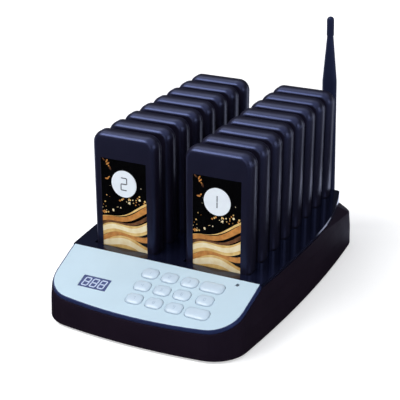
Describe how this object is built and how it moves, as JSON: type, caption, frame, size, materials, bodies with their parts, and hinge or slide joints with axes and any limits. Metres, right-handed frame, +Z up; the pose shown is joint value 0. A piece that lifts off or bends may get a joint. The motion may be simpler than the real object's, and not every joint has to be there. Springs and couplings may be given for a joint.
{
  "type": "guest pager system",
  "caption": "Charging base with a sloped keypad, a small numeric display and an antenna, holding two rows of upright lift-out guest pagers.",
  "frame": {"origin": "middle of the whole box, on the table under the feet", "axes": "+Z up; +Y from the keypad at the front to the antenna at the rear; +X to the right"},
  "size_m": [0.1658, 0.251, 0.1779],
  "materials": {
    "satin_black": "fine satin moulded plastic",
    "gloss_black": "polished moulded plastic",
    "panel_blue": "smooth printed overlay",
    "display_window": "tinted window",
    "inner_black": "plain moulded plastic",
    "key_rubber": "soft silicone",
    "key_white": "pearly moulded plastic",
    "circuit_board": "solder resist",
    "contact_gold": "plated",
    "lamp": "clear lens, unlit",
    "antenna_black": "soft satin sleeve",
    "foot_rubber": "plain rubber",
    "screw_steel": "zinc plated",
    "pager_gloss": "polished moulded plastic",
    "pager_back": "polished moulded plastic"
  },
  "bodies": {
    "base": {"lower_housing": "satin_black", "top_cover": "gloss_black", "control_panel": "panel_blue", "display_lens": "display_window", "display_module": "inner_black", "keypad_mat": "key_rubber", "main_board": "circuit_board", "charging_boards": "circuit_board", "charging_pins": "contact_gold", "status_lamp": "lamp", "power_inlet": "inner_black", "antenna_socket": "contact_gold", "rubber_feet": "foot_rubber", "screws": "screw_steel"},
    "antenna_elbow": {"antenna_knuckle": "antenna_black"},
    "antenna_whip": {"antenna_mast": "antenna_black"},
    "key_1_cap": {"key_1": "key_white"},
    "key_2_cap": {"key_2": "key_white"},
    "key_3_cap": {"key_3": "key_white"},
    "key_call_cap": {"key_call": "key_white"},
    "key_4_cap": {"key_4": "key_white"},
    "key_5_cap": {"key_5": "key_white"},
    "key_6_cap": {"key_6": "key_white"},
    "key_0_cap": {"key_0": "key_white"},
    "key_7_cap": {"key_7": "key_white"},
    "key_8_cap": {"key_8": "key_white"},
    "key_9_cap": {"key_9": "key_white"},
    "key_cancel_cap": {"key_cancel": "key_white"},
    "pager_01": {"pager_01_front": "pager_gloss", "pager_01_back": "pager_back"},
    "pager_02": {"pager_02_front": "pager_gloss", "pager_02_back": "pager_back"},
    "pager_03": {"pager_03_front": "pager_gloss", "pager_03_back": "pager_back"},
    "pager_04": {"pager_04_front": "pager_gloss", "pager_04_back": "pager_back"},
    "pager_05": {"pager_05_front": "pager_gloss", "pager_05_back": "pager_back"},
    "pager_06": {"pager_06_front": "pager_gloss", "pager_06_back": "pager_back"},
    "pager_07": {"pager_07_front": "pager_gloss", "pager_07_back": "pager_back"},
    "pager_08": {"pager_08_front": "pager_gloss", "pager_08_back": "pager_back"},
    "pager_09": {"pager_09_front": "pager_gloss", "pager_09_back": "pager_back"},
    "pager_10": {"pager_10_front": "pager_gloss", "pager_10_back": "pager_back"},
    "pager_11": {"pager_11_front": "pager_gloss", "pager_11_back": "pager_back"},
    "pager_12": {"pager_12_front": "pager_gloss", "pager_12_back": "pager_back"},
    "pager_13": {"pager_13_front": "pager_gloss", "pager_13_back": "pager_back"},
    "pager_14": {"pager_14_front": "pager_gloss", "pager_14_back": "pager_back"},
    "pager_15": {"pager_15_front": "pager_gloss", "pager_15_back": "pager_back"},
    "pager_16": {"pager_16_front": "pager_gloss", "pager_16_back": "pager_back"}
  },
  "joints": [
    {"name": "antenna_swivel", "type": "hinge", "parent": "base", "child": "antenna_elbow", "pos_m": [0.0505, 0.12131, 0.025], "axis": [0, 1, 0], "range_deg": [-90, 90]},
    {"name": "antenna_fold", "type": "hinge", "parent": "antenna_elbow", "child": "antenna_whip", "pos_m": [0.0505, 0.12131, 0.025], "axis": [-0.9995, 0, -0.0323], "range_deg": [0, 90]},
    {"name": "key_1_press", "type": "slide", "parent": "base", "child": "key_1_cap", "axis": [0, 0.3387, -0.9409], "range_m": [0, 0.0012], "stiffness_N_per_m": 300, "springref_m": -0.002},
    {"name": "key_2_press", "type": "slide", "parent": "base", "child": "key_2_cap", "axis": [0, 0.3387, -0.9409], "range_m": [0, 0.0012], "stiffness_N_per_m": 300, "springref_m": -0.002},
    {"name": "key_3_press", "type": "slide", "parent": "base", "child": "key_3_cap", "axis": [0, 0.3387, -0.9409], "range_m": [0, 0.0012], "stiffness_N_per_m": 300, "springref_m": -0.002},
    {"name": "key_call_press", "type": "slide", "parent": "base", "child": "key_call_cap", "axis": [0, 0.3387, -0.9409], "range_m": [0, 0.0012], "stiffness_N_per_m": 300, "springref_m": -0.002},
    {"name": "key_4_press", "type": "slide", "parent": "base", "child": "key_4_cap", "axis": [0, 0.3387, -0.9409], "range_m": [0, 0.0012], "stiffness_N_per_m": 300, "springref_m": -0.002},
    {"name": "key_5_press", "type": "slide", "parent": "base", "child": "key_5_cap", "axis": [0, 0.3387, -0.9409], "range_m": [0, 0.0012], "stiffness_N_per_m": 300, "springref_m": -0.002},
    {"name": "key_6_press", "type": "slide", "parent": "base", "child": "key_6_cap", "axis": [0, 0.3387, -0.9409], "range_m": [0, 0.0012], "stiffness_N_per_m": 300, "springref_m": -0.002},
    {"name": "key_0_press", "type": "slide", "parent": "base", "child": "key_0_cap", "axis": [0, 0.3387, -0.9409], "range_m": [0, 0.0012], "stiffness_N_per_m": 300, "springref_m": -0.002},
    {"name": "key_7_press", "type": "slide", "parent": "base", "child": "key_7_cap", "axis": [0, 0.3387, -0.9409], "range_m": [0, 0.0012], "stiffness_N_per_m": 300, "springref_m": -0.002},
    {"name": "key_8_press", "type": "slide", "parent": "base", "child": "key_8_cap", "axis": [0, 0.3387, -0.9409], "range_m": [0, 0.0012], "stiffness_N_per_m": 300, "springref_m": -0.002},
    {"name": "key_9_press", "type": "slide", "parent": "base", "child": "key_9_cap", "axis": [0, 0.3387, -0.9409], "range_m": [0, 0.0012], "stiffness_N_per_m": 300, "springref_m": -0.002},
    {"name": "key_cancel_press", "type": "slide", "parent": "base", "child": "key_cancel_cap", "axis": [0, 0.3387, -0.9409], "range_m": [0, 0.0012], "stiffness_N_per_m": 300, "springref_m": -0.002},
    {"name": "pager_01_lift", "type": "slide", "parent": "base", "child": "pager_01", "axis": [0, 0, 1], "range_m": [0, 0.11]},
    {"name": "pager_02_lift", "type": "slide", "parent": "base", "child": "pager_02", "axis": [0, 0, 1], "range_m": [0, 0.11]},
    {"name": "pager_03_lift", "type": "slide", "parent": "base", "child": "pager_03", "axis": [0, 0, 1], "range_m": [0, 0.11]},
    {"name": "pager_04_lift", "type": "slide", "parent": "base", "child": "pager_04", "axis": [0, 0, 1], "range_m": [0, 0.11]},
    {"name": "pager_05_lift", "type": "slide", "parent": "base", "child": "pager_05", "axis": [0, 0, 1], "range_m": [0, 0.11]},
    {"name": "pager_06_lift", "type": "slide", "parent": "base", "child": "pager_06", "axis": [0, 0, 1], "range_m": [0, 0.11]},
    {"name": "pager_07_lift", "type": "slide", "parent": "base", "child": "pager_07", "axis": [0, 0, 1], "range_m": [0, 0.11]},
    {"name": "pager_08_lift", "type": "slide", "parent": "base", "child": "pager_08", "axis": [0, 0, 1], "range_m": [0, 0.11]},
    {"name": "pager_09_lift", "type": "slide", "parent": "base", "child": "pager_09", "axis": [0, 0, 1], "range_m": [0, 0.11]},
    {"name": "pager_10_lift", "type": "slide", "parent": "base", "child": "pager_10", "axis": [0, 0, 1], "range_m": [0, 0.11]},
    {"name": "pager_11_lift", "type": "slide", "parent": "base", "child": "pager_11", "axis": [0, 0, 1], "range_m": [0, 0.11]},
    {"name": "pager_12_lift", "type": "slide", "parent": "base", "child": "pager_12", "axis": [0, 0, 1], "range_m": [0, 0.11]},
    {"name": "pager_13_lift", "type": "slide", "parent": "base", "child": "pager_13", "axis": [0, 0, 1], "range_m": [0, 0.11]},
    {"name": "pager_14_lift", "type": "slide", "parent": "base", "child": "pager_14", "axis": [0, 0, 1], "range_m": [0, 0.11]},
    {"name": "pager_15_lift", "type": "slide", "parent": "base", "child": "pager_15", "axis": [0, 0, 1], "range_m": [0, 0.11]},
    {"name": "pager_16_lift", "type": "slide", "parent": "base", "child": "pager_16", "axis": [0, 0, 1], "range_m": [0, 0.11]}
  ]
}
